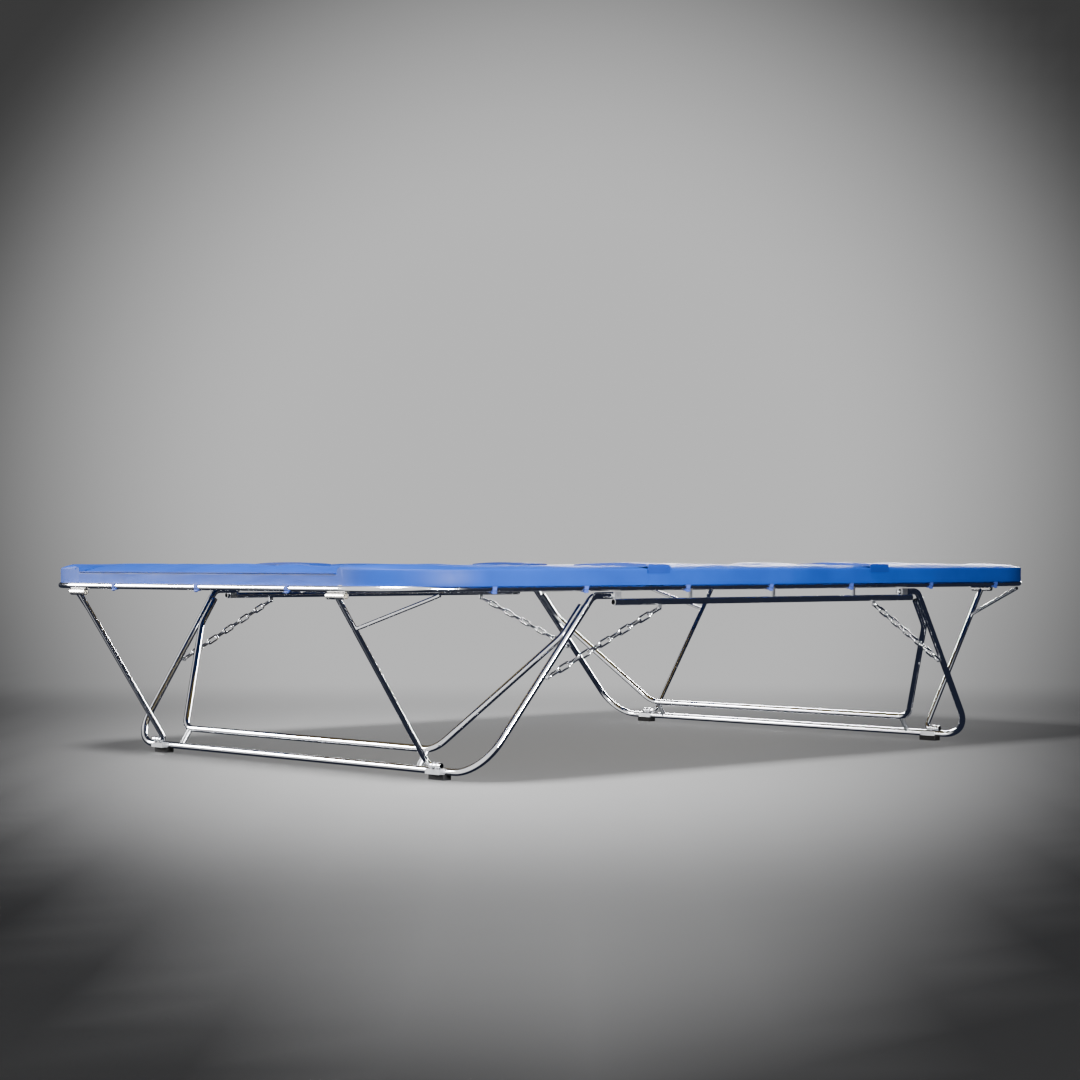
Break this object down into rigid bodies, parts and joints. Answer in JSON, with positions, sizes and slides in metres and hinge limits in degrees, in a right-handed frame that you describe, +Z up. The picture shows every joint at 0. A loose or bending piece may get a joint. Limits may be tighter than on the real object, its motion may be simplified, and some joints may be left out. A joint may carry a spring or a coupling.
{
  "type": "folding trampoline",
  "caption": "Folding rectangular gymnastic trampoline with padded steel frame, woven bed, two chain-stayed folding leg frames and bracing struts.",
  "frame": {"origin": "on the floor, under the centre of the bed", "axes": "+X along the length towards the far end, +Y across towards the left side, +Z up"},
  "size_m": [4.7796, 3.112, 0.988],
  "materials": {
    "frame_tube": "bright galvanised steel tube",
    "leg_tube": "bright chromed steel tube",
    "sleeve_steel": "bright steel sleeve, slightly brushed",
    "bracket_steel": "brushed zinc-plated steel",
    "fastener_steel": "zinc-plated steel",
    "chain_steel": "polished welded chain",
    "foot_rubber": "black rubber",
    "pad_vinyl": "blue coated vinyl over foam, slightly glossy",
    "cover_vinyl": "blue coated vinyl",
    "strap_webbing": "woven blue strap",
    "bed_webbing": "woven straw-coloured nylon webbing",
    "spring_steel": "zinc-plated closed-coil springs"
  },
  "bodies": {
    "middle": {"middle_rails": "frame_tube", "under_rails": "frame_tube", "rail_spacers": "bracket_steel", "chain_lugs": "bracket_steel", "middle_fold_lugs": "bracket_steel", "fold_pins": "fastener_steel", "leg_pivot_plates": "bracket_steel", "leg_pivot_bolts": "fastener_steel", "middle_pad_left": "pad_vinyl", "middle_pad_right": "pad_vinyl", "middle_straps": "strap_webbing", "bed_middle": "bed_webbing", "springs_middle": "spring_steel", "fold_cover_near_left": "cover_vinyl", "fold_cover_near_right": "cover_vinyl", "fold_cover_far_left": "cover_vinyl", "fold_cover_far_right": "cover_vinyl", "chain_near_left": "chain_steel", "chain_near_right": "chain_steel", "chain_far_left": "chain_steel", "chain_far_right": "chain_steel"},
    "end_near": {"end_frame_near": "frame_tube", "fold_lugs_near": "bracket_steel", "corner_pad_near_left": "pad_vinyl", "corner_pad_near_right": "pad_vinyl", "end_pad_near": "pad_vinyl", "straps_near": "strap_webbing", "bed_near": "bed_webbing", "springs_near": "spring_steel"},
    "leg_near": {"leg_outer_near": "leg_tube", "leg_inner_near": "leg_tube", "leg_ties_near": "bracket_steel", "feet_near": "foot_rubber", "foot_brackets_near": "bracket_steel"},
    "end_far": {"end_frame_far": "frame_tube", "fold_lugs_far": "bracket_steel", "corner_pad_far_left": "pad_vinyl", "corner_pad_far_right": "pad_vinyl", "end_pad_far": "pad_vinyl", "straps_far": "strap_webbing", "bed_far": "bed_webbing", "springs_far": "spring_steel"},
    "leg_far": {"leg_outer_far": "leg_tube", "leg_inner_far": "leg_tube", "leg_ties_far": "bracket_steel", "feet_far": "foot_rubber", "foot_brackets_far": "bracket_steel"},
    "strut_near_left": {"strut_near_left": "leg_tube", "sleeve_near_left": "sleeve_steel", "brace_near_left": "leg_tube"},
    "strut_near_right": {"strut_near_right": "leg_tube", "sleeve_near_right": "sleeve_steel", "brace_near_right": "leg_tube"},
    "strut_far_left": {"strut_far_left": "leg_tube", "sleeve_far_left": "sleeve_steel", "brace_far_left": "leg_tube"},
    "strut_far_right": {"strut_far_right": "leg_tube", "sleeve_far_right": "sleeve_steel", "brace_far_right": "leg_tube"}
  },
  "joints": [
    {"name": "end_near_fold", "type": "hinge", "parent": "middle", "child": "end_near", "pos_m": [-0.821, 0, 0.93], "axis": [0, 1, 0], "range_deg": [0, 95], "deforming": ["fold_cover_near_left", "fold_cover_near_right"]},
    {"name": "leg_near_fold", "type": "hinge", "parent": "middle", "child": "leg_near", "pos_m": [-1.067, 0, 0.842], "axis": [0, -1, 0], "range_deg": [0, 105], "deforming": ["chain_near_left", "chain_near_right"]},
    {"name": "strut_near_left_fold", "type": "hinge", "parent": "leg_near", "child": "strut_near_left", "pos_m": [-1.838, 1.12, 0.067], "axis": [0, 1, 0], "range_deg": [0, 54]},
    {"name": "strut_near_right_fold", "type": "hinge", "parent": "leg_near", "child": "strut_near_right", "pos_m": [-1.838, -1.12, 0.067], "axis": [0, 1, 0], "range_deg": [0, 54]},
    {"name": "end_far_fold", "type": "hinge", "parent": "middle", "child": "end_far", "pos_m": [0.821, 0, 0.93], "axis": [0, -1, 0], "range_deg": [0, 95], "deforming": ["fold_cover_far_left", "fold_cover_far_right"]},
    {"name": "leg_far_fold", "type": "hinge", "parent": "middle", "child": "leg_far", "pos_m": [1.067, 0, 0.842], "axis": [0, 1, 0], "range_deg": [0, 105], "deforming": ["chain_far_left", "chain_far_right"]},
    {"name": "strut_far_left_fold", "type": "hinge", "parent": "leg_far", "child": "strut_far_left", "pos_m": [1.838, 1.12, 0.067], "axis": [0, -1, 0], "range_deg": [0, 54]},
    {"name": "strut_far_right_fold", "type": "hinge", "parent": "leg_far", "child": "strut_far_right", "pos_m": [1.838, -1.12, 0.067], "axis": [0, -1, 0], "range_deg": [0, 54]}
  ],
  "couplings": [
    {"joint": "strut_near_left_fold", "follows": "leg_near_fold", "ratio": 0.5},
    {"joint": "strut_near_right_fold", "follows": "leg_near_fold", "ratio": 0.5},
    {"joint": "strut_far_left_fold", "follows": "leg_far_fold", "ratio": 0.5},
    {"joint": "strut_far_right_fold", "follows": "leg_far_fold", "ratio": 0.5}
  ]
}
